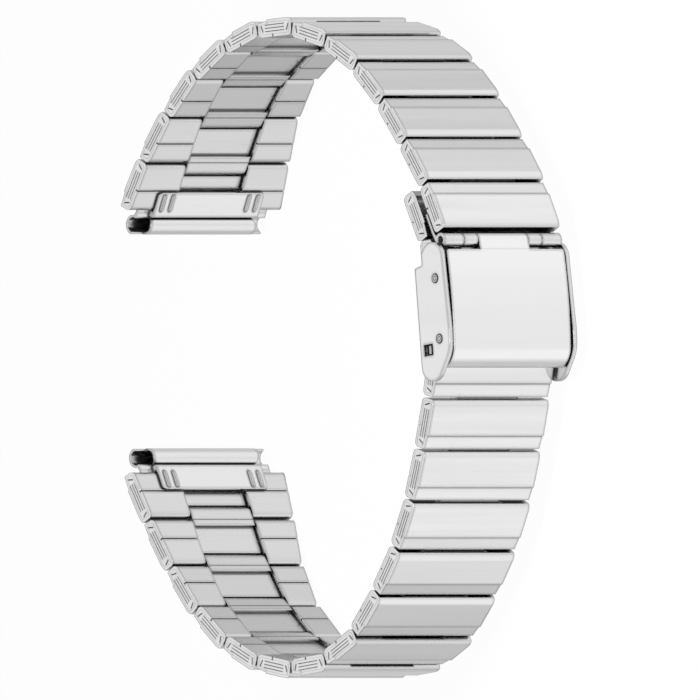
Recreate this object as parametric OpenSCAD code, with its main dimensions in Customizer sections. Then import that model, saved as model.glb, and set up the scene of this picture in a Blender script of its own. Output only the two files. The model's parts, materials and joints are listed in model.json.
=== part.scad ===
// Watch bracelet of folded sheet links with an adjustable fold-over clasp.
// It lies on its side: X runs from the watch towards the clasp, Y from the
// lower strand towards the upper one, and Z along the width. The origin is the
// middle of the upper spring bar bore.

/* [Links] */
// Distance from one link to the next along a straight strand
pitch = 5.6; // [5.3:0.05:6.5]
// Gap between the end faces of two straight links
link_gap = 0.25; // [0.23:0.01:0.4]
// Thickness of a link
link_t = 1.9; // [1.85:0.05:2.3]
// Width of the parallel links
link_w = 16; // [15:0.5:18]
// Thickness of the sheet that wraps a link
sheet_t = 0.3; // [0.2:0.02:0.34]
// Radius of the two corners on the wrist side of a link
inner_corner_r = 0.6; // [0.45:0.05:0.65]
// Length of the flat land on the outer face
land_len = 3.05; // [2.6:0.05:3.2]
// Length of the rounded bevel on the clasp side of the land
front_bevel_len = 0.8; // [0.6:0.05:1]
// Drop of that rounded bevel at the end face
front_bevel_drop = 0.28; // [0.2:0.02:0.34]
// Step down from the land to the wide bevel
land_step = 0.1; // [0.06:0.01:0.14]
// Drop of the wide bevel at the end face on the watch side
rear_bevel_drop = 0.34; // [0.26:0.02:0.4]
// Width of the seam where the two edges of the wrapped sheet meet
seam_w = 0.12; // [0.08:0.02:0.2]

/* [Link hinges] */
// Distance of a hinge pin behind the end face of its link
pin_inset = 0.6; // [0.56:0.02:0.7]
// Diameter of a hinge pin
pin_d = 0.56; // [0.5:0.02:0.64]
// Length of a hinge pin
pin_len = 10.6; // [10:0.2:12]
// Width of the rolled tongue that turns on the pin
tongue_w = 8.3; // [7:0.1:8.6]
// Side clearance between the rolled tongue and the side tabs
tongue_gap = 0.2; // [0.1:0.02:0.3]
// Outer radius of the rolled tongue
roll_r = 0.84; // [0.8:0.02:0.88]
// Radial clearance of the hinge pin in the rolled tongue
pin_clear = 0.03; // [0.02:0.01:0.06]

/* [Flared end links] */
// Width of the strand at the watch end
flare_w = 20.9; // [19.6:0.1:22]
// Width at the first hinge from the watch
flare_w_1 = 19.6; // [18.4:0.1:20.4]
// Width at the second hinge from the watch
flare_w_2 = 17.7; // [17:0.1:18.6]
// Width at the third hinge from the watch
flare_w_3 = 16.4; // [16:0.1:17]

/* [Spring bar ends] */
// Length of the spring bar tube, the width between the lugs
bar_tube_len = 18; // [17:0.5:19]
// Diameter of the spring bar bore
bar_bore_d = 1.6; // [1.5:0.05:1.7]
// Wall of the spring bar tube
bar_wall = 0.24; // [0.2:0.02:0.3]
// Width of the clamping flap and of the closed part of the tube
flap_w = 14.5; // [13:0.5:16]
// Distance of the tube's axis beyond the end face of the last link
bar_reach = 1.75; // [1.7:0.05:2.1]
// Distance of the tube's axis towards the wrist from the middle of the link
bar_drop = 0.35; // [0.3:0.05:0.5]
// Thickness of the clamping flap and tongue
flap_t = 0.3; // [0.24:0.02:0.34]
// Length of an embossed rib on the flap
rib_len = 1.5; // [1:0.1:1.6]
// Width of an embossed rib
rib_w = 0.5; // [0.4:0.05:0.6]

/* [Clasp case] */
// Thickness of the two side walls
wall_t = 0.5; // [0.4:0.05:0.6]
// Side clearance between the links and the side walls
wall_gap = 0.35; // [0.25:0.05:0.5]
// Clearance between the links and the web
web_gap = 0.2; // [0.1:0.05:0.3]
// Thickness of the web on the wrist side
web_t = 0.45; // [0.35:0.05:0.6]
// Outer radius where the web turns up into a side wall
channel_r = 0.7; // [0.6:0.05:0.9]
// Distance from the top hinge to the top end of the side walls
case_top = 0.15; // [0.1:0.05:0.4]
// Distance from the top hinge to the lower end of the side walls
case_end = 14.75; // [14.5:0.05:15.5]
// Start of the web from the top hinge
web_start = 2.5; // [2:0.1:3]
// End of the web from the top hinge
web_end = 11.8; // [11.5:0.1:11.9]
// Distance from the top hinge to the lock rivet
lock_rivet_s = 4; // [3.8:0.1:4.4]
// Distance from the top hinge to the arm rivet
arm_rivet_s = 10.4; // [10:0.05:10.5]
// Diameter of the rivets
rivet_d = 0.8; // [0.7:0.05:0.9]
// Distance from the top hinge to the middle of the window for the lock lug
slot_s = 11.4; // [11.3:0.05:11.6]
// Length of the window for the lock lug
slot_len = 1.2; // [1.1:0.05:1.4]
// Height of the window for the lock lug
slot_h = 1.45; // [1.3:0.05:1.5]

/* [Clasp cover] */
// Thickness of the cover
cover_t = 0.5; // [0.4:0.05:0.6]
// Side clearance between the cover and the side walls
cover_gap = 0.25; // [0.2:0.05:0.4]
// Distance from the top hinge to the cover's upper edge
cover_top = 1.05; // [1:0.05:1.3]
// Distance from the top hinge to where the cover turns down
cover_turn = 11.3; // [11:0.1:11.6]
// Radius of the turned lower end
cover_turn_r = 2.5; // [2.2:0.1:2.8]
// Angle at which the turned lower end stops, measured from straight down
cover_turn_end = 19; // [17:1:30]
// Radius of the long curve of the cover
cover_crown_r = 60; // [50:5:90]
// Height of the cover's crown above the top hinge
cover_crown = 1.18; // [1.1:0.02:1.3]
// Radius of the two upper corners of the cover
cover_corner_r = 0.35; // [0.2:0.05:0.5]
// Width of the tongue that rolls round the top hinge
cover_tongue_w = 6.8; // [6:0.1:7]

/* [Top hinge and arm] */
// Outer diameter of the hinge knuckles
knuckle_d = 1.56; // [1.5:0.02:1.6]
// Depth of the top hinge pin's ends inside the outer knuckles
top_pin_inset = 0.6; // [0:0.1:0.8]
// Diameter of the top hinge pin
top_pin_d = 0.8; // [0.7:0.02:0.84]
// Radial clearance of the top hinge pin and of the arm rivets
hinge_clear = 0.03; // [0.02:0.01:0.06]
// Side clearance between two knuckles
knuckle_gap = 0.06; // [0.04:0.01:0.1]
// Width of one arm knuckle
arm_knuckle_w = 1.9; // [1.6:0.1:2]
// Thickness of the folding arm
arm_t = 0.45; // [0.35:0.05:0.5]
// Thickness of the ears of the arm and the lock plate
ear_t = 0.4; // [0.3:0.02:0.42]
// Side clearance between the ears and the walls
ear_gap = 0.08; // [0.06:0.01:0.12]
// Thickness of the lock plate
lock_t = 0.35; // [0.3:0.01:0.38]
// Thickness of the lip that drops between two links
lip_t = 0.16; // [0.14:0.01:0.18]
// Thickness of the leaf that joins the strand to the top hinge
leaf_t = 0.3; // [0.24:0.02:0.32]

/* [Laid shape] */
// Direction of the clasp, from the top hinge down
clasp_dir = 276.4; // [270:0.2:285]
// Direction of the upper strand's link next to the clasp
upper_dir = 118.5; // [116:0.5:124]
// Tilt of the tail link behind the top hinge
tail_tilt = 22; // [18:1:24]

/* [Hidden] */
// Bend of each upper hinge, from the clasp to the watch
upper_bends = [9.5, 3, 8, 14.5, 14, 17, 15.5, 14.5, 16.5, 11, 4.5];
// Bend of each lower hinge, from the clasp to the watch
lower_bends = [17, 4, 3, 8, 9, 6.5, 21, 21, 15.5, 15, 16, 15, 9, 0.5];
upper_count = len(upper_bends) + 1;
lower_count = len(lower_bends) + 3;

$fn = 48;

// Clearance between parts that are folded or pressed together
fold_gap = 0.02;
// How far a cutting shape runs past what it cuts
past = 1;

// Link sizes that follow from the ones above
link_len = pitch - link_gap;
half_t = link_t / 2;
land_x0 = front_bevel_len;
land_x1 = front_bevel_len + land_len;
front_r = (front_bevel_len * front_bevel_len + front_bevel_drop * front_bevel_drop)
    / (2 * front_bevel_drop);
notch_w = tongue_w + 2 * tongue_gap;
roll_top = 0.35 * roll_r;
roll_start = link_len - 0.75;
notch_top = roll_top + 0.12;
plate_y = -half_t + 0.55;
plate_t = 0.28;
plate_x = pin_inset + roll_r + 0.1;
roll_x = pitch + pin_inset;
seam_x = 0.56 * link_len;
seat_e = sheet_t + fold_gap;

// Direction and place of each link, from the clasp to the watch
function dir(a) = [cos(a), sin(a)];
function sum_to(list, n) = n == 0 ? 0 : list[n - 1] + sum_to(list, n - 1);
upper_dirs = [for (i = [0 : upper_count - 1]) upper_dir + sum_to(upper_bends, i)];
lower_dirs = [for (i = [0 : lower_count - 2])
    i < 2 ? clasp_dir : clasp_dir - sum_to(lower_bends, i - 1)];
function chain(start, dirs) = [
    for (
        i = 0, p = start;
        i < len(dirs);
        p = p + (pitch + pin_inset) * dir(dirs[i])
            - pin_inset * dir(dirs[min(i + 1, len(dirs) - 1)]),
        i = i + 1
    ) p
];

// The clasp's own axes: s runs down from the top hinge, n points outwards
function clasp_point(s, n) = s * dir(clasp_dir) + n * dir(clasp_dir + 90);
links_n = -2.45;
lock_gap_s = 10.95;
hinge_to_link = [1, 0.38];
upper_start = hinge_to_link[0] * dir(upper_dir)
    + hinge_to_link[1] * dir(upper_dir - 90);
lower_start = clasp_point(lock_gap_s - 2 * pitch, links_n);
upper_places = chain(upper_start, upper_dirs);
lower_places = chain(lower_start, lower_dirs);
tail_dir = clasp_dir + tail_tilt;
tail_place = lower_start + pin_inset * dir(clasp_dir)
    - (pitch + pin_inset) * dir(tail_dir);

// Middle of each spring bar bore, and the shift that brings the upper one home
bar_x = link_len + bar_reach;
upper_bar = upper_places[upper_count - 1]
    + bar_x * dir(upper_dirs[upper_count - 1])
    - bar_drop * dir(upper_dirs[upper_count - 1] - 90);
lower_bar = lower_places[lower_count - 2]
    + bar_x * dir(lower_dirs[lower_count - 2])
    - bar_drop * dir(lower_dirs[lower_count - 2] + 90);
home = -upper_bar;

// Clasp sizes that follow from the ones above
wall_in = link_w / 2 + wall_gap;
wall_out = wall_in + wall_t;
web_in = links_n - half_t - web_gap;
web_out = web_in - web_t;
rivet_n = -0.45;
links_top = links_n + half_t;
lock_bottom = links_top + 0.1;
lock_top = lock_bottom + lock_t;
slot_n = -2.33;
arm_bottom = -0.3;
ear_out = wall_in - ear_gap;
ear_in = ear_out - ear_t;
ear_r = 0.92;
knuckle_r = knuckle_d / 2;
tongue_out = cover_tongue_w / 2;
arm_in = tongue_out + knuckle_gap;
arm_out = arm_in + arm_knuckle_w;
leaf_in = arm_out + knuckle_gap;
leaf_out = link_w / 2 + 0.1;
cover_half = wall_in - cover_gap;

module at_upper(i) {
    place = home + upper_places[i];
    translate([place[0], place[1], 0])
        rotate([0, 0, upper_dirs[i]])
            rotate([180, 0, 0])
                children();
}

module at_lower(i) {
    place = home + lower_places[i];
    translate([place[0], place[1], 0])
        rotate([0, 0, lower_dirs[i]])
            children();
}

module at_clasp() {
    translate([home[0], home[1], 0])
        rotate([0, 0, clasp_dir])
            children();
}

// A solid of the drawn outline from one width to another, on both sides
module both_sides(z0, z1) {
    for (side = [-1, 1])
        translate([0, 0, side * (z0 + z1) / 2])
            linear_extrude(z1 - z0, center = true)
                children();
}

module middle(width) {
    linear_extrude(width, center = true)
        children();
}

// Outline of a link seen from its end face, drawn smaller by e all round
module link_outline(e) {
    corner = inner_corner_r - e;
    slack = max(0, e - sheet_t);
    under = 0.4;
    intersection() {
        union() {
            translate([e + corner, e - half_t])
                square([link_len - 2 * e - 2 * corner, link_t - 2 * e]);
            translate([e, e - half_t + corner])
                square([link_len - 2 * e, link_t - 2 * e - corner]);
            for (x = [e + corner, link_len - e - corner])
                translate([x, e - half_t + corner])
                    circle(corner);
        }
        union() {
            translate([land_x0, -half_t - past])
                square([land_len - slack, link_t + past - e]);
            translate([land_x0, half_t - front_r])
                intersection() {
                    circle(front_r - e, $fn = 96);
                    translate([-front_r, 0])
                        square([front_r + under, front_r]);
                }
            translate([-past, -half_t - past])
                square([land_x0 + past + under, link_t - front_r + past + 0.01]);
            polygon([
                [land_x1 - under, -half_t - past],
                [link_len + past, -half_t - past],
                [link_len + past, half_t - rear_bevel_drop - e - 0.05],
                [link_len - 0.1, half_t - rear_bevel_drop - e],
                [land_x1 - under, half_t - land_step - e]
            ]);
        }
    }
}

// The plan that gives a link its width, which may taper
module link_plan(w_clasp, w_watch) {
    rotate([90, 0, 0])
        linear_extrude(link_t + 2 * past, center = true)
            polygon([
                [-past, -w_clasp / 2],
                [0, -w_clasp / 2],
                [link_len, -w_watch / 2],
                [link_len + past, -w_watch / 2],
                [link_len + past, w_watch / 2],
                [link_len, w_watch / 2],
                [0, w_clasp / 2],
                [-past, w_clasp / 2]
            ]);
}

// The polished sheet wrapped round a link, open along the seam
module link_shell(w_clasp, w_watch, pinned, ended) {
    w = max(w_clasp, w_watch);
    tongue_seat = bar_tube_len + 0.2;
    intersection() {
        difference() {
            middle(w)
                link_outline(0);
            middle(w + past)
                link_outline(sheet_t);
            translate([seam_x - seam_w / 2, -half_t - past, -w])
                cube([seam_w, past + sheet_t + 0.01, 2 * w]);
            translate([pinned ? -past : seam_x, -half_t - past, -notch_w / 2])
                cube([link_len + 2 * past, half_t + past + notch_top, notch_w]);
            if (ended)
                translate([link_len - inner_corner_r - fold_gap, sheet_t - half_t, -tongue_seat / 2])
                    cube([inner_corner_r + past, flap_t + 3 * fold_gap, tongue_seat]);
        }
        link_plan(w_clasp, w_watch);
    }
}

// The fold lines that show on the end face of a link
module fold_lines(w) {
    line_t = 0.06;
    depth = 1.2;
    for (side = [-1, 1])
        translate([0, 0, side * w / 2]) {
            for (y = [-0.36, -0.02, 0.32])
                translate([1.15, y, -depth])
                    cube([link_len - 2.3, line_t, 2 * depth]);
            for (end = [[0.62, 24], [link_len - 0.66, -24]])
                translate([end[0], -0.05, 0])
                    rotate([0, 0, end[1]])
                        cube([1.6 * line_t, 0.75, 2 * depth], center = true);
        }
}

// The folded inner strip with its two side blocks and its recessed plate
module link_strip(w_clasp, w_watch, pinned, ended) {
    w = max(w_clasp, w_watch);
    block_in = notch_w / 2 + 0.2;
    plate_end = ended ? link_len / 2 + 0.4 : roll_start + 0.1;
    difference() {
        union() {
            intersection() {
                both_sides(block_in, w / 2)
                    link_outline(seat_e);
                link_plan(w_clasp, w_watch);
            }
            translate([plate_x, plate_y, -block_in - 0.1])
                cube([plate_end - plate_x, plate_t, 2 * block_in + 0.2]);
            if (!ended)
                rolled_tongue();
        }
        if (pinned)
            translate([pin_inset, 0, 0])
                cylinder(d = pin_d + fold_gap, h = pin_len + 2 * fold_gap, center = true);
        fold_lines(min(w_clasp, w_watch));
        if (ended)
            translate([link_len / 2 + 0.4, -half_t, -bar_tube_len / 2 - 0.1])
                cube([link_len, sheet_t + flap_t + 3 * fold_gap, bar_tube_len + 0.2]);
    }
}

// The end of the strip, rolled round the next link's pin
module rolled_tongue() {
    line_t = 0.1;
    middle(tongue_w)
        difference() {
            union() {
                translate([plate_x + 1, plate_y])
                    square([roll_start - plate_x, plate_t]);
                translate([roll_start, -roll_r])
                    square([roll_x - roll_start, roll_r + roll_top]);
                intersection() {
                    translate([roll_x, 0])
                        circle(roll_r);
                    translate([roll_start, -roll_r])
                        square([roll_x + roll_r - roll_start, roll_r + roll_top]);
                }
            }
            translate([roll_x, 0])
                circle(d = pin_d + 2 * pin_clear);
            translate([link_len - 0.1, -roll_r - line_t / 2])
                square([line_t, line_t]);
        }
}

module link(w_clasp, w_watch, pinned = true, ended = false) {
    color([0.86, 0.86, 0.87])
        link_shell(w_clasp, w_watch, pinned, ended);
    color([0.7, 0.7, 0.71])
        link_strip(w_clasp, w_watch, pinned, ended);
    if (pinned)
        color([0.6, 0.6, 0.62])
            translate([pin_inset, 0, 0])
                cylinder(d = pin_d, h = pin_len, center = true);
}

// Width of a strand at the clasp side of the link that is n links from the watch
function width_at(n) =
    n == 0 ? flare_w : n == 1 ? flare_w_1 : n == 2 ? flare_w_2 : n == 3 ? flare_w_3 : link_w;

module upper_link(n) {
    at_upper(upper_count - n)
        link(width_at(n), width_at(n - 1), n < upper_count, n == 1);
}

module lower_link(n) {
    if (n == lower_count)
        translate([home[0] + tail_place[0], home[1] + tail_place[1], 0])
            rotate([0, 0, tail_dir])
                link(link_w, link_w, false);
    else
        at_lower(lower_count - 1 - n)
            link(width_at(n), width_at(n - 1), true, n == 1);
}

// Spring bar tube with its clamping flap and the tongue inside the last link
module end_piece() {
    tube_r = bar_bore_d / 2 + bar_wall;
    flap_x = seam_x + seam_w / 2 + 0.03;
    flap_y = -half_t - flap_t;
    tongue_y = -half_t + sheet_t + fold_gap;
    tongue_x = link_len / 2 + 0.6;
    neck_x = bar_x - 0.8 * tube_r;
    turn_x = bar_x - tube_r - 0.06;
    cut_y = -bar_drop - 0.1;
    difference() {
        union() {
            middle(bar_tube_len)
                translate([bar_x, -bar_drop])
                    circle(tube_r);
            middle(flap_w)
                union() {
                    translate([flap_x, flap_y])
                        square([turn_x - flap_t - flap_x, flap_t]);
                    translate([turn_x - flap_t, -half_t])
                        circle(flap_t);
                    translate([link_len + 0.03, -half_t])
                        square([turn_x - link_len - 0.03, half_t + cut_y]);
                    translate([turn_x - 0.3, cut_y - 0.1])
                        square([neck_x - turn_x + 0.4, 0.2]);
                }
            middle(bar_tube_len)
                polygon([
                    [tongue_x, tongue_y], [link_len + 0.12, tongue_y],
                    [neck_x + 0.1, cut_y + 0.02], [neck_x + 0.2, -bar_drop + 0.3],
                    [link_len + 0.2, tongue_y + flap_t], [tongue_x, tongue_y + flap_t]
                ]);
            for (side = [-1, 1], inset = [0.8, 2])
                translate([0, flap_y + 0.03, side * (flap_w / 2 - inset)])
                    embossed_rib(flap_x + 0.4);
        }
        middle(bar_tube_len + past)
            translate([bar_x, -bar_drop])
                circle(d = bar_bore_d);
        both_sides(flap_w / 2, bar_tube_len / 2 + past)
            translate([bar_x - 2 * tube_r, cut_y - 2 * tube_r])
                square([4 * tube_r, 2 * tube_r]);
        corner_cuts(bar_x - tube_r, cut_y - tube_r, flap_w / 2, 0.8, tube_r, 0.03);
        corner_cuts(flap_x, flap_y - past, flap_w / 2, 0.5, flap_t + past, past);
    }
}

// A low rounded rib along the strand
module embossed_rib(x) {
    rotate([0, 90, 0])
        translate([0, 0, x])
            cylinder(d = rib_w, h = rib_len);
    for (end = [x, x + rib_len])
        translate([end, 0, 0])
            sphere(d = rib_w);
}

function arc(c, r, a0, a1, n) = [
    for (i = [0 : n]) c + r * dir(a0 + (a1 - a0) * i / n)
];

// Direction out of the outline along the line that touches circle a and then circle b
function edge_dir(a, b) = atan2(b[1] - a[1], b[0] - a[0])
    + acos((a[2] - b[2]) / norm([b[0] - a[0], b[1] - a[1]]));

// A plate of the given width, whose outline is circles [x, y, radius] joined clockwise by lines;
// the lines are set in by a hair and each round runs on under them, so that they cross cleanly
module rounded_plate(circles, width) {
    n = len(circles);
    leave = [for (i = [0 : n - 1]) edge_dir(circles[i], circles[(i + 1) % n])];
    arrive = [for (i = [0 : n - 1]) leave[(i + n - 1) % n]];
    run_on = 14;
    for (i = [0 : n - 1]) {
        from = arrive[i] + run_on;
        turn = (arrive[i] - leave[i] + 720) % 360 + 2 * run_on;
        centre = [circles[i][0], circles[i][1]];
        far = 3 * circles[i][2];
        middle(width)
            intersection() {
                translate(centre)
                    circle(circles[i][2], $fn = 96);
                polygon([centre, for (step = [0 : 3]) centre + far * dir(from - turn * step / 3)]);
            }
    }
    middle(width)
        polygon([
            for (i = [0 : n - 1], a = [arrive[i], leave[i]])
                [circles[i][0], circles[i][1]] + (circles[i][2] - 0.004) * dir(a)
        ]);
}

// The case seen from its side: a narrow round top, and a deeper body with a round end
module case_side() {
    crown_n = cover_crown + 0.06;
    top_r = 1.65;
    end_r = 1.75;
    foot_r = 1.5;
    neck_n = -2.4;
    difference() {
        rounded_plate([
            [case_top + top_r, -0.75, top_r],
            [9.5, crown_n - 3.5, 3.5],
            [10.5, crown_n - 3.7, 3.66],
            [case_end - end_r, -1.92, end_r],
            [web_end + 0.1, web_out + foot_r, foot_r],
            [web_start + 0.6, web_out + 0.3, 0.3]
        ], 2 * wall_out);
        middle(2 * wall_out + past)
            polygon([
                [-past, neck_n], [web_start - 0.1, neck_n], [web_start + 0.25, web_out + 0.1],
                [web_start + 0.25, web_out - past], [-past, web_out - past]
            ]);
    }
}

// The channel that the lower strand runs through
module clasp_case_body() {
    depth = crown_top() - web_out;
    difference() {
        intersection() {
            case_side();
            translate([0, web_out + depth, 0])
                rotate([0, 90, 0])
                    linear_extrude(case_end + past)
                        channel_section(depth);
        }
        for (s = [[-past, web_start], [web_end, case_end + past]])
            translate([s[0], web_out - past, -wall_in])
                cube([s[1] - s[0], depth, 2 * wall_in]);
        for (s = [lock_rivet_s, arm_rivet_s])
            translate([s, rivet_n, 0]) {
                cylinder(d = rivet_d + fold_gap, h = 2 * wall_out + past, center = true);
                for (side = [-1, 1])
                    translate([0, 0, side * wall_out])
                        cylinder(d = rivet_d + 0.26, h = 0.12, center = true);
            }
        translate([slot_s - slot_len / 2, slot_n - slot_h / 2, -wall_out - past])
            cube([slot_len, slot_h, 2 * wall_out + 2 * past]);
    }
}

function crown_top() = cover_crown + 0.5;

// Cross-section of the channel: x is the width, y the depth below its open side
module channel_section(depth) {
    difference() {
        union() {
            translate([-wall_out, -depth + channel_r])
                square([2 * wall_out, depth - channel_r]);
            translate([-wall_out + channel_r, -depth])
                square([2 * (wall_out - channel_r), depth]);
            for (side = [-1, 1])
                translate([side * (wall_out - channel_r), channel_r - depth])
                    circle(channel_r);
        }
        translate([-wall_in, web_t - depth])
            square([2 * wall_in, depth]);
    }
}

// Long curve and turned end of the cover, as a strip of the given thickness
module cover_outline() {
    crown_c = [6.2, cover_crown - cover_crown_r];
    turn_a = 90 - asin((cover_turn - crown_c[0]) / cover_crown_r);
    turn_c = crown_c + (cover_crown_r - cover_turn_r) * dir(turn_a);
    far = 4 * cover_turn_r;
    intersection() {
        translate(crown_c)
            difference() {
                circle(cover_crown_r, $fn = 360);
                circle(cover_crown_r - cover_t, $fn = 360);
            }
        polygon([
            [cover_top, -2], [turn_c[0], turn_c[1]],
            turn_c + far * dir(turn_a), [cover_top, 5]
        ]);
    }
    intersection() {
        translate(turn_c)
            difference() {
                circle(cover_turn_r, $fn = 96);
                circle(cover_turn_r - cover_t, $fn = 96);
            }
        polygon([turn_c, turn_c + far * dir(turn_a + 0.1), turn_c + far * dir(cover_turn_end)]);
    }
}

module clasp_cover_body() {
    difference() {
        union() {
            middle(2 * cover_half)
                cover_outline();
            middle(cover_tongue_w)
                union() {
                    circle(knuckle_r);
                    polygon([
                        [0, knuckle_r], [cover_top + 0.1, cover_crown - 0.22],
                        [cover_top + 0.1, cover_crown - 0.22 - cover_t], [0.3, 0.3]
                    ]);
                }
        }
        cylinder(d = top_pin_d + 2 * hinge_clear, h = link_w, center = true);
        corner_cuts(cover_top, 0, cover_half, cover_corner_r, 2 * cover_crown, past);
    }
}

// Posts that round the two corners at x and at z on both sides when they are cut away
module corner_cuts(x, y, z, r, h, reach) {
    for (side = [-1, 1])
        translate([x, y, side * z])
            rotate([-90, 0, 0])
                difference() {
                    translate([-reach, side > 0 ? -reach : -r, 0])
                        cube([r + reach, r + reach, h]);
                    translate([r, side * r, -past])
                        cylinder(r = r, h = h + 2 * past);
                }
}

// The plate that carries the upper strand out when the clasp opens
module folding_arm_body() {
    shoulder_s = arm_rivet_s - 1.2;
    waist = arm_out + 1.2;
    difference() {
        union() {
            both_sides(arm_in, arm_out)
                union() {
                    circle(knuckle_r);
                    translate([0, -knuckle_r])
                        square([knuckle_r + 0.4, knuckle_r - 0.1]);
                }
            translate([0, arm_bottom, 0])
                rotate([-90, 0, 0])
                    linear_extrude(arm_t)
                        polygon([
                            [0.5, arm_in], [0.5, arm_out], [1, arm_out], [2.4, waist], [shoulder_s - 1, waist],
                            [shoulder_s, ear_out], [arm_rivet_s, ear_out], [arm_rivet_s, -ear_out],
                            [shoulder_s, -ear_out], [shoulder_s - 1, -waist], [2.4, -waist],
                            [1, -arm_out], [0.5, -arm_out], [0.5, -arm_in], [1.7, -arm_in], [1.7, arm_in]
                        ]);
            both_sides(ear_in, ear_out)
                union() {
                    translate([arm_rivet_s, rivet_n])
                        circle(ear_r);
                    translate([shoulder_s, arm_bottom])
                        square([arm_rivet_s - shoulder_s, arm_t]);
                }
        }
        cylinder(d = top_pin_d + 2 * hinge_clear, h = link_w, center = true);
        translate([arm_rivet_s, rivet_n, 0])
            cylinder(d = rivet_d + 2 * hinge_clear, h = 2 * wall_out, center = true);
    }
}

// The plate that drops its lip between two links and holds the strand
module lock_plate_body() {
    lip_s = lock_gap_s - link_gap / 2 - lip_t / 2;
    lip_end = links_n + roll_top + 0.08;
    lug_len = slot_len - 0.3;
    lug_h = 0.36;
    narrow_s = arm_rivet_s - ear_r - 0.4;
    difference() {
        union() {
            translate([0, lock_bottom, 0])
                rotate([-90, 0, 0])
                    linear_extrude(lock_t)
                        polygon([
                            [lock_rivet_s - 0.7, -ear_out], [narrow_s - 0.3, -ear_out],
                            [narrow_s, -ear_in + 0.15], [lip_s + lip_t, -ear_in + 0.15],
                            [lip_s + lip_t, -2.6], [lip_s + lip_t + 0.7, -2.4],
                            [lip_s + lip_t + 0.7, 2.4], [lip_s + lip_t, 2.6],
                            [lip_s + lip_t, ear_in - 0.15], [narrow_s, ear_in - 0.15],
                            [narrow_s - 0.3, ear_out], [lock_rivet_s - 0.7, ear_out]
                        ]);
            both_sides(ear_in, ear_out)
                union() {
                    translate([lock_rivet_s, rivet_n])
                        circle(ear_r - 0.14);
                    translate([lock_rivet_s - 0.7, lock_bottom])
                        square([1.4, rivet_n - lock_bottom]);
                }
            translate([lip_s, lip_end, -ear_in + 0.15])
                cube([lip_t, lock_top - lip_end, 2 * ear_in - 0.3]);
            for (side = [-1, 1])
                translate([slot_s - lug_len / 2, lug_top() - lug_h, side * (wall_out + link_w / 2) / 2])
                    translate([0, 0, -(wall_out - link_w / 2) / 2 + 0.08])
                        cube([lug_len, lug_h, wall_out - link_w / 2 - 0.16]);
            both_sides(link_w / 2 + 0.08, wall_in - 0.08)
                translate([lip_s, lug_top() - lug_h])
                    square([slot_s + lug_len / 2 - lip_s, lug_h]);
            both_sides(ear_in - 0.3, wall_in - 0.08)
                translate([lip_s, lip_end])
                    square([lip_t, lug_top() - lip_end]);
        }
        translate([lock_rivet_s, rivet_n, 0])
            cylinder(d = rivet_d + 2 * hinge_clear, h = 2 * wall_out, center = true);
    }
}

function lug_top() = slot_n + slot_h / 2 - 0.35;

// The leaf on the inner face of the upper strand, rolled round the top hinge
module strand_leaf_body() {
    pin_x = -hinge_to_link[0];
    pin_y = -hinge_to_link[1];
    leaf_y = -half_t - leaf_t;
    difference() {
        union() {
            both_sides(leaf_in, leaf_out)
                union() {
                    translate([pin_x, pin_y])
                        circle(knuckle_r);
                    polygon([
                        [pin_x + 0.1, pin_y - knuckle_r], [0.1, leaf_y],
                        [0.5, leaf_y], [0.5, -half_t], [0, -half_t + 0.05],
                        [pin_x + 0.4, pin_y - 0.3]
                    ]);
                }
            translate([0.15, leaf_y, -leaf_out])
                cube([2.3, leaf_t, 2 * leaf_out]);
        }
        translate([pin_x, pin_y, 0])
            cylinder(d = top_pin_d + fold_gap, h = 2 * link_w, center = true);
    }
}

// Two short rivets, each with a turned ring in its flat head
module rivet_pair(s) {
    head_h = 0.04;
    ring_d = 0.5;
    ring_t = 0.06;
    for (side = [-1, 1])
        translate([s, rivet_n, 0])
            difference() {
                translate([0, 0, side * (ear_in + wall_out + head_h) / 2])
                    cylinder(d = rivet_d, h = wall_out + head_h - ear_in, center = true);
                translate([0, 0, side * (wall_out + head_h)])
                    difference() {
                        cylinder(d = ring_d, h = 2 * ring_t, center = true);
                        cylinder(d = ring_d - 2 * ring_t, h = 3 * ring_t, center = true);
                    }
            }
}

module clasp_case() {
    at_clasp()
        color([0.84, 0.84, 0.85])
            clasp_case_body();
}

module clasp_cover() {
    at_clasp()
        color([0.92, 0.92, 0.93])
            clasp_cover_body();
}

module folding_arm() {
    at_clasp()
        color([0.78, 0.78, 0.8])
            folding_arm_body();
}

module lock_plate() {
    at_clasp()
        color([0.72, 0.72, 0.74])
            lock_plate_body();
}

module strand_leaf() {
    at_upper(0)
        color([0.8, 0.8, 0.81])
            strand_leaf_body();
}

module top_hinge_pin() {
    at_clasp()
        color([0.6, 0.6, 0.62])
            cylinder(d = top_pin_d, h = 2 * (leaf_out - top_pin_inset), center = true);
}

module arm_rivets() {
    at_clasp()
        color([0.6, 0.6, 0.62])
            rivet_pair(arm_rivet_s);
}

module lock_rivets() {
    at_clasp()
        color([0.6, 0.6, 0.62])
            rivet_pair(lock_rivet_s);
}

module upper_end_piece() {
    at_upper(upper_count - 1)
        color([0.88, 0.88, 0.89])
            end_piece();
}

module lower_end_piece() {
    at_lower(lower_count - 2)
        color([0.88, 0.88, 0.89])
            end_piece();
}

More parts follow.
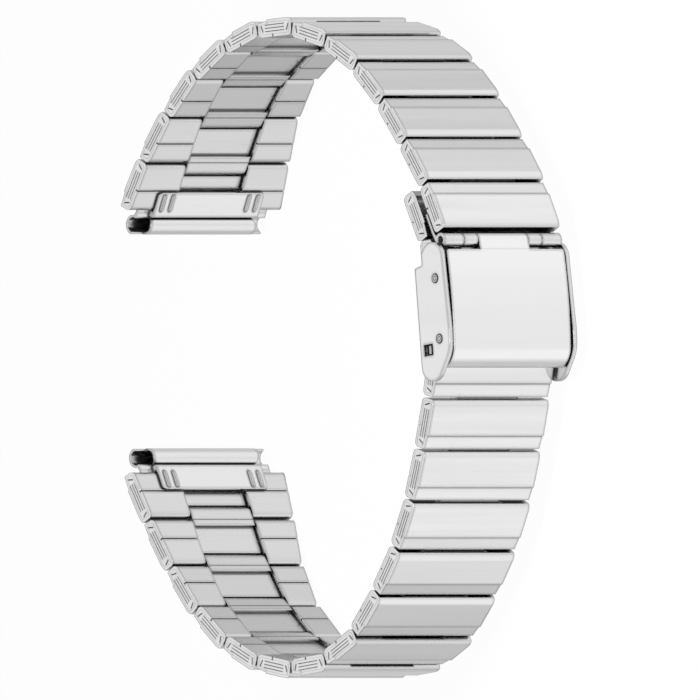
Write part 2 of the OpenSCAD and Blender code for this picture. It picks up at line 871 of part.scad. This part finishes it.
clasp_case();
clasp_cover();
folding_arm();
lock_plate();
strand_leaf();
top_hinge_pin();
arm_rivets();
lock_rivets();
upper_end_piece();
lower_end_piece();
upper_link(1);  // upper_link_01
upper_link(2);  // upper_link_02
upper_link(3);  // upper_link_03
upper_link(4);  // upper_link_04
upper_link(5);  // upper_link_05
upper_link(6);  // upper_link_06
upper_link(7);  // upper_link_07
upper_link(8);  // upper_link_08
upper_link(9);  // upper_link_09
upper_link(10);  // upper_link_10
upper_link(11);  // upper_link_11
upper_link(12);  // upper_link_12
lower_link(1);  // lower_link_01
lower_link(2);  // lower_link_02
lower_link(3);  // lower_link_03
lower_link(4);  // lower_link_04
lower_link(5);  // lower_link_05
lower_link(6);  // lower_link_06
lower_link(7);  // lower_link_07
lower_link(8);  // lower_link_08
lower_link(9);  // lower_link_09
lower_link(10);  // lower_link_10
lower_link(11);  // lower_link_11
lower_link(12);  // lower_link_12
lower_link(13);  // lower_link_13
lower_link(14);  // lower_link_14
lower_link(15);  // lower_link_15
lower_link(16);  // lower_link_16
lower_link(17);  // lower_link_17
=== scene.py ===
"""Steel finishes, soft studio and camera for the folded link watch bracelet."""

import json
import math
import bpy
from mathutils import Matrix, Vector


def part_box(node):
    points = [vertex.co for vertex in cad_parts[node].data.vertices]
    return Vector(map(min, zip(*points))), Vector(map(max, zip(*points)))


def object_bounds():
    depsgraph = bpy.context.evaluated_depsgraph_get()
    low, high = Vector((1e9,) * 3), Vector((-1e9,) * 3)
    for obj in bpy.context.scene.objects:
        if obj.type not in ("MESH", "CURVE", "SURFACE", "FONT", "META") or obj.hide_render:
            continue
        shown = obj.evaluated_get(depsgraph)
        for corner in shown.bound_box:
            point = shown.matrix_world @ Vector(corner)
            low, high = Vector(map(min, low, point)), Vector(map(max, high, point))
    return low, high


bl_info = {
    "name": "Folded link watch bracelet",
    "version": (1, 0, 0),
    "blender": (4, 5, 0),
    "location": "3D View > Sidebar > Bracelet",
    "description": "Steel finishes, a soft studio and the camera for a metal watch bracelet",
    "category": "Object",
}

import bmesh
import bpy
from mathutils import Matrix, Vector

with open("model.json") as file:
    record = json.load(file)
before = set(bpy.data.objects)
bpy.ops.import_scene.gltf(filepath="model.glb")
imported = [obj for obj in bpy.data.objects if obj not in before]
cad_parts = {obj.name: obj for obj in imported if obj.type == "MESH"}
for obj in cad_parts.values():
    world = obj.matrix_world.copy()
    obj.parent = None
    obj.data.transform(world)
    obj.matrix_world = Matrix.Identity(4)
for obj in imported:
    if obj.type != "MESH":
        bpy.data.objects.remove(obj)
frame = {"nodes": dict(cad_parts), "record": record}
CAD_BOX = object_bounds()
MM = 0.001
NODES = frame["nodes"]
LINKS = sorted(name for name in NODES if "_link_" in name)
BAR_ENDS = sorted(name for name in NODES if name.endswith("_end_piece"))
PINS = ["top_hinge_pin", "arm_rivets", "lock_rivets"]


def record_colour(slot):
    """Base colour that the record gives a material slot."""
    for material in frame["record"]["materials"]:
        if material["slot"] == slot:
            return material["base_color"]
    raise ValueError(f"the record has no slot {slot}")


def steel_colour(slot, label):
    return bpy.props.FloatVectorProperty(
        name=label,
        description=f"Base colour of the {label.lower()}",
        subtype="COLOR",
        size=3,
        min=0,
        max=1,
        default=record_colour(slot),
    )


def length(label, about, default_mm):
    return bpy.props.FloatProperty(
        name=label,
        description=about,
        subtype="DISTANCE",
        unit="LENGTH",
        min=0,
        default=default_mm * MM,
    )


def share(label, about, default):
    return bpy.props.FloatProperty(
        name=label, description=about, subtype="FACTOR", min=0, max=1, default=default
    )


def power(label, about, default):
    return bpy.props.FloatProperty(
        name=label, description=about, subtype="POWER", min=0, default=default
    )


def strength(label, about, default):
    return bpy.props.FloatProperty(name=label, description=about, min=0, default=default)


class SteelSettings(bpy.types.PropertyGroup):
    """Colours and surface of the steel."""

    link: steel_colour("link_steel", "Links")
    bar_end: steel_colour("bar_end_steel", "Spring bar ends")
    case: steel_colour("case_steel", "Clasp case")
    cover: steel_colour("cover_steel", "Clasp cover")
    arm: steel_colour("arm_steel", "Folding arm and leaf")
    lock: steel_colour("lock_steel", "Lock plate")
    pin: steel_colour("pin_steel", "Pins and rivets")
    outer_roughness: share("Outer roughness", "Roughness of the polished outer faces", 0.18)
    inner_roughness: share("Inner roughness", "Roughness of the wrist side", 0.26)
    grain: length("Grain", "Distance between two hairlines of the brushing", 0.09)
    grain_depth: length("Grain depth", "Depth of the brushing", 0.0006)
    smudge: length("Smudge", "Size of the patches where the polish varies", 2.2)
    roughness_patches: share("Patchy roughness", "How far the roughness varies by patch", 0.05)
    roughness_lines: share("Brushed roughness", "How far the roughness varies by hairline", 0.06)
    smudge_share: share("Smudge share", "How much of the dull tone a smudge takes", 0.35)
    # The wrist side takes the darker tone as painted shade
    wrist_share: share("Wrist share", "How much of the dull tone the wrist side takes", 0.8)
    dull_and_shade: share("Dull", "Share of the base colour that the dull tone keeps", 0.8)
    # The band along an edge takes painted shade
    satin: share("Satin", "Share of the base colour that the band along an edge keeps", 0.55)
    band_shade_share: share("Satin share", "How much of the satin tone the band takes", 0.75)
    edge: length("Edge", "Radius of the softened edges", 0.2)
    # The bright tone on edges is a painted highlight, partly wear
    edge_share: share("Edge share", "How much of the bright tone a worn edge takes", 0.4)
    shoulder: length("Shoulder", "Width of the satin band along an edge", 0.5)
    # Gaps get painted shade, partly dirt, and small steps get a painted shade line
    crevice: length("Crevice", "Reach of the darkening in gaps", 0.6)
    crevice_share: share("Crevice share", "How much of the grime tone a gap takes", 0.92)
    crease: length("Crease", "Reach of the dark line along a small step", 0.3)
    crease_share: share("Crease share", "How much of the grime tone a crease takes", 0.8)


class CameraSettings(bpy.types.PropertyGroup):
    """How the photograph frames the bracelet."""

    image_px: bpy.props.IntProperty(
        name="Image size", description="Width and height of the image in pixels", default=700
    )
    px_per_mm: bpy.props.FloatProperty(
        name="Scale", description="Pixels per millimetre in the image", default=9.5
    )
    toward: bpy.props.FloatVectorProperty(
        name="Toward the camera",
        description="Direction from the bracelet to the camera",
        subtype="DIRECTION",
        default=(0.76, 0.0, 0.65),
    )
    hinge_px: bpy.props.FloatVectorProperty(
        name="Top hinge in the image",
        description="Pixel where a point on the top hinge's axis shows",
        size=2,
        default=(441.0, 240.0),
    )
    hinge_height: length("Hinge height", "Height of that point above the mid-plane", 8)


class StudioSettings(bpy.types.PropertyGroup):
    """Floor and light."""

    floor: bpy.props.FloatVectorProperty(
        name="Floor",
        description="Colour of the floor",
        subtype="COLOR",
        size=3,
        min=0,
        max=1,
        default=(0.9, 0.9, 0.9),
    )
    floor_gap: length("Floor gap", "Distance from the bracelet down to the floor", 0.02)
    whiteness: share("Whiteness", "How white the floor shows to the camera", 0.97)
    sky: strength("Sky", "Strength of the light from all round", 0.15)
    gloss_sky: strength("Gloss sky", "Strength of the room above the horizon in the steel", 1.0)
    gloss_limit: strength("Gloss limit", "Most that the low walls show in the steel", 1.08)
    gloss_horizon: share("Gloss horizon", "Strength of the room's far wall in the steel", 0.2)
    gloss_side: share("Gloss side", "Strength of the room's low walls in the steel", 0.66)
    gloss_front: share("Gloss front", "What the low wall in front adds", 0.42)
    gloss_left: share("Gloss left", "What the low wall in front adds toward the lower strand", 0.05)
    gloss_right: share("Gloss right", "What the low wall beside the upper strand adds", 0.1)
    gloss_middle: share("Gloss middle", "What the low wall straight in front takes away", 0.1)
    gloss_top: share("Gloss top", "How much darker the ceiling right above shows in the steel", 0.25)
    key: power("Key", "Power of the soft light over the clasp", 0.112)
    front: power("Front", "Power of the low light in front", 0.15)


class Number:
    """A shader value that takes plain arithmetic; each step adds a Math node."""

    def __init__(self, board, socket):
        self.board = board
        self.socket = socket

    def _with(self, operation, first, second=0.0):
        node = self.board.node("ShaderNodeMath", {"operation": operation}, {0: first, 1: second})
        return Number(self.board, node.outputs[0])

    def __add__(self, other):
        return self._with("ADD", self, other)

    def __radd__(self, other):
        return self._with("ADD", other, self)

    def __sub__(self, other):
        return self._with("SUBTRACT", self, other)

    def __rsub__(self, other):
        return self._with("SUBTRACT", other, self)

    def __mul__(self, other):
        return self._with("MULTIPLY", self, other)

    def __rmul__(self, other):
        return self._with("MULTIPLY", other, self)

    def __pow__(self, other):
        return self._with("POWER", self, other)

    def at_least(self, level):
        return self._with("MAXIMUM", self, level)

    def at_most(self, level):
        return self._with("MINIMUM", self, level)

    def stretched(self, low, high, new_low=0.0, new_high=1.0):
        """The value with low..high spread over new_low..new_high and held there."""
        node = self.board.node(
            "ShaderNodeMapRange",
            {"interpolation_type": "SMOOTHSTEP"},
            {"Value": self, "From Min": low, "From Max": high, "To Min": new_low, "To Max": new_high},
        )
        return Number(self.board, node.outputs["Result"])


class Board:
    """The nodes of one material or of the world."""

    def __init__(self, tree):
        self.tree = tree
        tree.nodes.clear()

    def node(self, kind, settings=None, values=None):
        made = self.tree.nodes.new(kind)
        for key, setting in (settings or {}).items():
            setattr(made, key, setting)
        for key, value in (values or {}).items():
            self.feed(made.inputs[key], value)
        return made

    def feed(self, socket, value):
        if isinstance(value, Number):
            value = value.socket
        if isinstance(value, bpy.types.NodeSocket):
            self.tree.links.new(value, socket)
        elif isinstance(value, (tuple, list)) and len(value) == 3 and socket.type == "RGBA":
            socket.default_value = (*value, 1.0)
        else:
            socket.default_value = value

    def number(self, kind, settings, values, output=0):
        return Number(self, self.node(kind, settings, values).outputs[output])

    def noise(self, place, size, detail=2.0, roughness=0.5):
        return self.number(
            "ShaderNodeTexNoise",
            {"noise_dimensions": "3D"},
            {"Vector": place, "Scale": 1 / size, "Detail": detail, "Roughness": roughness},
        )

    def stretch(self, place, scale, turn=0.0):
        """Object coordinates turned about Z, then scaled, so that a pattern runs one way."""
        turned = self.node("ShaderNodeMapping", None, {"Vector": place, "Rotation": (0, 0, -turn)})
        scaled = self.node("ShaderNodeMapping", None, {"Vector": turned.outputs[0], "Scale": scale})
        return scaled.outputs[0]

    def rounded(self, radius, normal):
        """Normal with the edges rounded, and how far it leans from the true one."""
        made = self.node("ShaderNodeBevel", {"samples": 6}, {"Radius": radius})
        turned = self.vector("DOT_PRODUCT", made.outputs[0], normal, "Value")
        return made.outputs[0], 1.0 - Number(self, turned)

    def hidden(self, reach):
        """Share of the sky that neighbours within the given reach take away."""
        made = self.node("ShaderNodeAmbientOcclusion", {"samples": 8}, {"Distance": reach})
        return 1.0 - Number(self, made.outputs["AO"])

    def vector(self, operation, first, second, output="Vector"):
        made = self.node("ShaderNodeVectorMath", {"operation": operation}, {0: first, 1: second})
        return made.outputs[output]

    def mixed(self, amount, first, second):
        made = self.node(
            "ShaderNodeMix", {"data_type": "RGBA"}, {"Factor": amount, 6: first, 7: second}
        )
        return made.outputs[2]


def ring_centre():
    """Middle of the loop, seen along the width."""
    low, high = CAD_BOX
    return (low.x + high.x) / 2, (low.y + high.y) / 2


# Colour of the painted shade in gaps and creases, which in gaps stands partly for dirt, and how much
# brighter the painted highlight along an edge, partly wear, is than the base colour
SHADE_AND_GRIME = (0.06, 0.059, 0.057)
BRIGHTER = 1.15
# Least and most roughness
SMOOTHEST, ROUGHEST = 0.08, 0.6
# Where each mask starts and where it is full
WRIST_FACING = (-0.3, -0.75)
END_FACING = (0.5, 0.9)
EDGE_LEAN = (0.015, 0.12)
BAND_LEAN = (0.002, 0.02)
GAP_HIDDEN = (0.2, 0.7)
CREASE_HIDDEN = (0.02, 0.3)
SMUDGE_LEVEL = (0.35, 0.7)
HAIR_LEVEL = (0.66, 0.72)
# Sizes of the deeper hairs and of the specks, as shares of the grain
HAIR_SIZE, SPECK_SIZE = 4.0, 0.25
# Shares of the relief: hairlines, single deeper hairs, specks
LINE_RELIEF, HAIR_RELIEF, SPECK_RELIEF = 0.7, 0.35, 0.15
# What a deeper hair adds to the roughness, and what a worn edge takes off
HAIR_ROUGHNESS, EDGE_SMOOTHNESS = 0.05, 0.05
RELIEF_STRENGTH = 0.35


def wrist_side(board, place, own_normal):
    """1 on faces that look into the loop, 0 on those that look out of it."""
    centre_x, centre_y = ring_centre()
    spoke = board.vector("SUBTRACT", place, (centre_x, centre_y, 0.0))
    flat_spoke = board.vector("MULTIPLY", spoke, (1.0, 1.0, 0.0))
    spoke_way = board.node("ShaderNodeVectorMath", {"operation": "NORMALIZE"}, {0: flat_spoke})
    facing = Number(board, board.vector("DOT_PRODUCT", spoke_way.outputs[0], own_normal, "Value"))
    return facing.stretched(*WRIST_FACING)


def steel(
    name,
    colour,
    grain_along,
    settings,
    polish=1.0,
    turn=0.0,
    cloud=1.0,
    end_lines=1.0,
    fine=1.0,
    gaps=1.0,
):
    """Polished steel: fine brushing, uneven polish, painted highlights on edges, partly wear, painted
    shade along edges, in creases and on the wrist side, painted shade and dirt in gaps.

    polish scales the roughness, turn turns the brushing about Z, cloud scales the smudges and the
    painted shade on the wrist side, end_lines is how much of the dark lines, the painted shade along
    edges, in gaps and in creases, the end faces keep, fine scales the widths of the lines along edges,
    and gaps scales the darkness of the painted shade and dirt in gaps.
    """
    colour = tuple(colour)
    material = bpy.data.materials.new(name)
    material.use_nodes = True
    board = Board(material.node_tree)
    own = board.node("ShaderNodeTexCoord").outputs
    place, own_normal = own["Object"], own["Normal"]
    normal = board.node("ShaderNodeNewGeometry").outputs["Normal"]
    inward = wrist_side(board, place, own_normal)

    lines = board.noise(board.stretch(place, grain_along, turn), settings.grain, 3.0, 0.6)
    hairs = board.noise(board.stretch(place, grain_along, turn), HAIR_SIZE * settings.grain, 1.0)
    hair_mask = hairs.stretched(*HAIR_LEVEL)
    smudges = board.noise(board.stretch(place, grain_along), settings.smudge, 3.0, 0.5)
    speck = board.noise(place, SPECK_SIZE * settings.grain, 2.0)

    rounded, lean = board.rounded(settings.edge * fine, normal)
    edge = lean.stretched(*EDGE_LEAN)
    ends = Number(board, board.vector("DOT_PRODUCT", own_normal, (0.0, 0.0, 1.0), "Value")) ** 2.0
    kept = 1.0 - ends.stretched(*END_FACING) * (1.0 - end_lines)
    # Painted shade on a band along each edge
    shoulder = board.rounded(settings.shoulder * fine, normal)[1].stretched(*BAND_LEAN) * kept
    # Painted shade in gaps, partly dirt, and a painted shade line along small steps
    gap_share = settings.crevice_share * gaps
    shade_and_dirt = board.hidden(settings.crevice).stretched(*GAP_HIDDEN) * gap_share
    crease = board.hidden(settings.crease * fine).stretched(*CREASE_HIDDEN) * settings.crease_share

    # Darker tone for smudges, and painted shade for the wrist side
    dull_and_shade = tuple(settings.dull_and_shade * c for c in colour)
    # Painted shade tone for the band along edges
    satin = tuple(settings.satin * c for c in colour)
    # Painted highlight tone for edges, partly wear
    bright = tuple(min(1.0, BRIGHTER * c) for c in colour)
    smudge_share = settings.smudge_share * cloud
    tone = board.mixed(smudges.stretched(*SMUDGE_LEVEL) * smudge_share, colour, dull_and_shade)
    # Painted shade on the wrist side
    tone = board.mixed(inward * (settings.wrist_share * cloud), tone, dull_and_shade)
    # Painted shade on the band along edges
    tone = board.mixed(shoulder * settings.band_shade_share, tone, satin)
    # Painted highlight on edges, partly wear
    tone = board.mixed(edge * settings.edge_share, tone, bright)
    # Painted shade in gaps and creases, partly dirt in gaps
    tone = board.mixed(shade_and_dirt.at_least(crease) * kept, tone, SHADE_AND_GRIME)

    outer = settings.outer_roughness * polish
    inner = settings.inner_roughness * polish
    roughness = inward * (inner - outer) + outer
    roughness = roughness + (smudges - 0.5) * settings.roughness_patches
    roughness = roughness + (lines - 0.5) * settings.roughness_lines + hair_mask * HAIR_ROUGHNESS
    roughness = (roughness - edge * EDGE_SMOOTHNESS).at_least(SMOOTHEST).at_most(ROUGHEST)

    relief = lines * LINE_RELIEF + hair_mask * HAIR_RELIEF + speck * SPECK_RELIEF
    bump = board.node(
        "ShaderNodeBump",
        None,
        {
            "Strength": RELIEF_STRENGTH,
            "Distance": settings.grain_depth,
            "Height": relief,
            "Normal": rounded,
        },
    )
    shader = board.node(
        "ShaderNodeBsdfPrincipled",
        None,
        {"Base Color": tone, "Metallic": 1.0, "Roughness": roughness, "Normal": bump.outputs[0]},
    )
    output = board.node("ShaderNodeOutputMaterial")
    board.tree.links.new(shader.outputs[0], output.inputs["Surface"])
    return material


# Stretch of the brushing on each axis: a small number makes long lines along that axis
ALONG_WIDTH = (1.0, 1.0, 0.05)
ALONG_CLASP = (0.05, 1.0, 1.0)
ALL_WAYS = (1.0, 1.0, 1.0)


def clasp_turn():
    """Angle about Z of the line from the top hinge to the arm's rivets."""
    low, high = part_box("arm_rivets")
    top_low, top_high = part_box("top_hinge_pin")
    step = (low + high) / 2 - (top_low + top_high) / 2
    return math.atan2(step.y, step.x)


def clad(nodes, material):
    """Gives CAD nodes their finish."""
    for name in nodes:
        mesh = NODES[name].data
        mesh.materials.clear()
        mesh.materials.append(material)


class BRACELET_OT_links(bpy.types.Operator):
    """Give the folded links their polished steel"""

    bl_idname = "bracelet.links"
    bl_label = "Links"

    def execute(self, context):
        settings = context.scene.bracelet_steel
        material = steel("link_steel", settings.link, ALONG_WIDTH, settings, end_lines=0.15)
        clad(LINKS, material)
        return {"FINISHED"}


class BRACELET_OT_bar_ends(bpy.types.Operator):
    """Give the spring bar ends their steel"""

    bl_idname = "bracelet.bar_ends"
    bl_label = "Spring bar ends"

    def execute(self, context):
        settings = context.scene.bracelet_steel
        material = steel(
            "bar_end_steel", settings.bar_end, ALONG_WIDTH, settings, polish=0.9, cloud=0.2, gaps=0.6
        )
        clad(BAR_ENDS, material)
        return {"FINISHED"}


class BRACELET_OT_clasp(bpy.types.Operator):
    """Give the clasp's case, cover, arm, leaf and lock plate their steel"""

    bl_idname = "bracelet.clasp"
    bl_label = "Clasp"

    def execute(self, context):
        settings = context.scene.bracelet_steel
        turn = clasp_turn()
        case = steel(
            "case_steel", settings.case, ALONG_CLASP, settings, polish=1.1, turn=turn, cloud=0.3
        )
        clad(["clasp_case"], case)
        cover = steel("cover_steel", settings.cover, ALONG_WIDTH, settings, polish=0.95, cloud=0.25)
        clad(["clasp_cover"], cover)
        arm = steel("arm_steel", settings.arm, ALONG_CLASP, settings, polish=1.2, turn=turn)
        clad(["folding_arm", "strand_leaf"], arm)
        lock = steel("lock_steel", settings.lock, ALONG_CLASP, settings, polish=1.3, turn=turn)
        clad(["lock_plate"], lock)
        return {"FINISHED"}


class BRACELET_OT_pins(bpy.types.Operator):
    """Give the top hinge pin and the rivets their turned steel"""

    bl_idname = "bracelet.pins"
    bl_label = "Pins and rivets"

    def execute(self, context):
        settings = context.scene.bracelet_steel
        material = steel("pin_steel", settings.pin, ALL_WAYS, settings, fine=0.35)
        clad(PINS, material)
        return {"FINISHED"}


def floor_material(settings):
    """Pale floor that shows as white to the camera and keeps the bracelet's shadow."""
    material = bpy.data.materials.new("floor")
    material.use_nodes = True
    board = Board(material.node_tree)
    plain = board.node("ShaderNodeBsdfDiffuse", None, {"Color": tuple(settings.floor)})
    white = board.node("ShaderNodeEmission", None, {"Color": (1.0, 1.0, 1.0), "Strength": 1.0})
    rays = board.node("ShaderNodeLightPath").outputs
    seen = Number(board, rays["Is Camera Ray"]) * settings.whiteness
    shown = board.node("ShaderNodeMixShader", None, {0: seen})
    board.tree.links.new(plain.outputs[0], shown.inputs[1])
    board.tree.links.new(white.outputs[0], shown.inputs[2])
    output = board.node("ShaderNodeOutputMaterial")
    board.tree.links.new(shown.outputs[0], output.inputs["Surface"])
    return material


# Where each part of the room starts and where it is full, as shares of a direction of length 1
FRONT_AHEAD = (0.0, 0.5)
LEFT_ASIDE = (0.1, 0.5)
RIGHT_ASIDE = (0.1, 0.6)
MIDDLE_ASIDE = (0.0, 0.1)
WALL_RISE = (0.05, 0.55)
CEILING = (0.72, 0.97)
WALL_DROP = (0.0, 0.22)


def room_in_steel(board, settings):
    """Strength of the room by direction in the steel: pale in front, darker beside and behind."""
    way = board.node("ShaderNodeTexCoord").outputs["Generated"]
    parts = board.node("ShaderNodeSeparateXYZ", None, {0: way}).outputs
    ahead = Number(board, parts["X"])
    aside = Number(board, parts["Y"])
    height = Number(board, parts["Z"])
    front = ahead.stretched(*FRONT_AHEAD)
    left = (aside * -1.0).stretched(*LEFT_ASIDE) * front
    right = aside.stretched(*RIGHT_ASIDE)
    middle = 1.0 - (aside * aside).stretched(*MIDDLE_ASIDE)
    low = front * settings.gloss_front + left * settings.gloss_left + right * settings.gloss_right
    low = low - middle * front * settings.gloss_middle + settings.gloss_side
    low = low.at_most(settings.gloss_limit)
    upper = height.stretched(*WALL_RISE, settings.gloss_horizon, settings.gloss_sky)
    upper = upper - height.stretched(*CEILING) * settings.gloss_top
    below = (height * -1.0).stretched(*WALL_DROP)
    return upper + below * (low - upper)


def set_world(settings):
    world = bpy.data.worlds.new("soft_room")
    bpy.context.scene.world = world
    world.use_nodes = True
    board = Board(world.node_tree)
    rays = board.node("ShaderNodeLightPath").outputs
    gloss = Number(board, rays["Is Glossy Ray"]).at_least(Number(board, rays["Is Transmission Ray"]))
    room = room_in_steel(board, settings)
    level = Number(board, rays["Is Camera Ray"]) * (1.0 - settings.sky) + settings.sky
    level = level + gloss * (room - settings.sky)
    background = board.node(
        "ShaderNodeBackground", None, {"Color": (1.0, 1.0, 1.0), "Strength": level}
    )
    output = board.node("ShaderNodeOutputWorld")
    board.tree.links.new(background.outputs[0], output.inputs["Surface"])


# Half the floor's side, and place, aim and size of the lights, in metres
FLOOR_HALF = 3.0
KEY_PLACE = (0.06, -0.012, 0.094)
KEY_AIM = (0.055, -0.01, 0.0)
KEY_SIZE = (0.024, 0.024)
FRONT_PLACE = (0.45, 0.0, 0.05)
FRONT_SIZE = (0.1, 0.1)
# Distance from the bracelet to the camera
CAMERA_AWAY = 0.4


def soft_light(name, place, aim, size, watts):
    lamp = bpy.data.lights.new(name, "AREA")
    lamp.shape = "RECTANGLE"
    lamp.size, lamp.size_y = size
    lamp.energy = watts
    light = bpy.data.objects.new(name, lamp)
    bpy.context.scene.collection.objects.link(light)
    light.location = place
    light.rotation_euler = (Vector(aim) - Vector(place)).to_track_quat("-Z", "Y").to_euler()
    return light


def set_camera(settings):
    """Camera from the photograph's side, with the top hinge at its pixel."""
    back = Vector(settings.toward).normalized()
    up = Vector((0.0, 1.0, 0.0))
    right = up.cross(back).normalized()
    low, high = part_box("top_hinge_pin")
    hinge = (low + high) / 2
    hinge.z = settings.hinge_height
    middle = settings.image_px / 2
    offset_x = (middle - settings.hinge_px[0]) / settings.px_per_mm * MM
    offset_y = (middle - settings.hinge_px[1]) / settings.px_per_mm * MM
    target = hinge + offset_x * right - offset_y * up
    data = bpy.data.cameras.new("photo_camera")
    data.type = "ORTHO"
    data.ortho_scale = settings.image_px / settings.px_per_mm * MM
    data.clip_start = 0.001
    data.clip_end = 10.0
    camera = bpy.data.objects.new("photo_camera", data)
    bpy.context.scene.collection.objects.link(camera)
    turned = Matrix((right, up, back)).transposed().to_4x4()
    turned.translation = target + back * CAMERA_AWAY
    camera.matrix_world = turned
    bpy.context.scene.camera = camera


class BRACELET_OT_stage(bpy.types.Operator):
    """Lay the floor, set the lights and place the camera"""

    bl_idname = "bracelet.stage"
    bl_label = "Stage"

    def execute(self, context):
        settings = context.scene.bracelet_studio
        low, high = CAD_BOX
        centre = (low + high) / 2
        sheet = bmesh.new()
        bmesh.ops.create_grid(sheet, x_segments=1, y_segments=1, size=FLOOR_HALF)
        bmesh.ops.translate(
            sheet, verts=sheet.verts, vec=(centre.x, centre.y, low.z - settings.floor_gap)
        )
        mesh = bpy.data.meshes.new("floor")
        sheet.to_mesh(mesh)
        sheet.free()
        mesh.materials.append(floor_material(settings))
        floor = bpy.data.objects.new("floor", mesh)
        context.scene.collection.objects.link(floor)
        floor.visible_glossy = False
        set_world(settings)
        key = soft_light("key", KEY_PLACE, KEY_AIM, KEY_SIZE, settings.key)
        key.visible_glossy = False
        aim = (centre.x, centre.y, 0.0)
        soft_light("front", FRONT_PLACE, aim, FRONT_SIZE, settings.front)
        set_camera(context.scene.bracelet_camera)
        context.scene.view_settings.view_transform = "Standard"
        return {"FINISHED"}


class BRACELET_PT_panel(bpy.types.Panel):
    """Sizes, colours and steps of the bracelet"""

    bl_idname = "BRACELET_PT_panel"
    bl_label = "Bracelet"
    bl_space_type = "VIEW_3D"
    bl_region_type = "UI"
    bl_category = "Bracelet"

    def draw(self, context):
        scene = context.scene
        for group in (scene.bracelet_steel, scene.bracelet_studio, scene.bracelet_camera):
            box = self.layout.box()
            for key in group.__annotations__:
                box.prop(group, key)
        for step in STEPS:
            self.layout.operator(step.bl_idname)


STEPS = (BRACELET_OT_links, BRACELET_OT_bar_ends, BRACELET_OT_clasp, BRACELET_OT_pins, BRACELET_OT_stage)
GROUPS = (SteelSettings, CameraSettings, StudioSettings)


def register():
    for cls in GROUPS + STEPS + (BRACELET_PT_panel,):
        bpy.utils.register_class(cls)
    bpy.types.Scene.bracelet_steel = bpy.props.PointerProperty(type=SteelSettings)
    bpy.types.Scene.bracelet_camera = bpy.props.PointerProperty(type=CameraSettings)
    bpy.types.Scene.bracelet_studio = bpy.props.PointerProperty(type=StudioSettings)


def unregister():
    del bpy.types.Scene.bracelet_studio
    del bpy.types.Scene.bracelet_camera
    del bpy.types.Scene.bracelet_steel
    for cls in reversed(GROUPS + STEPS + (BRACELET_PT_panel,)):
        bpy.utils.unregister_class(cls)


def main():
    register()
    bpy.ops.bracelet.links()
    bpy.ops.bracelet.bar_ends()
    bpy.ops.bracelet.clasp()
    bpy.ops.bracelet.pins()
    bpy.ops.bracelet.stage()


if __name__ == "__main__":
    main()
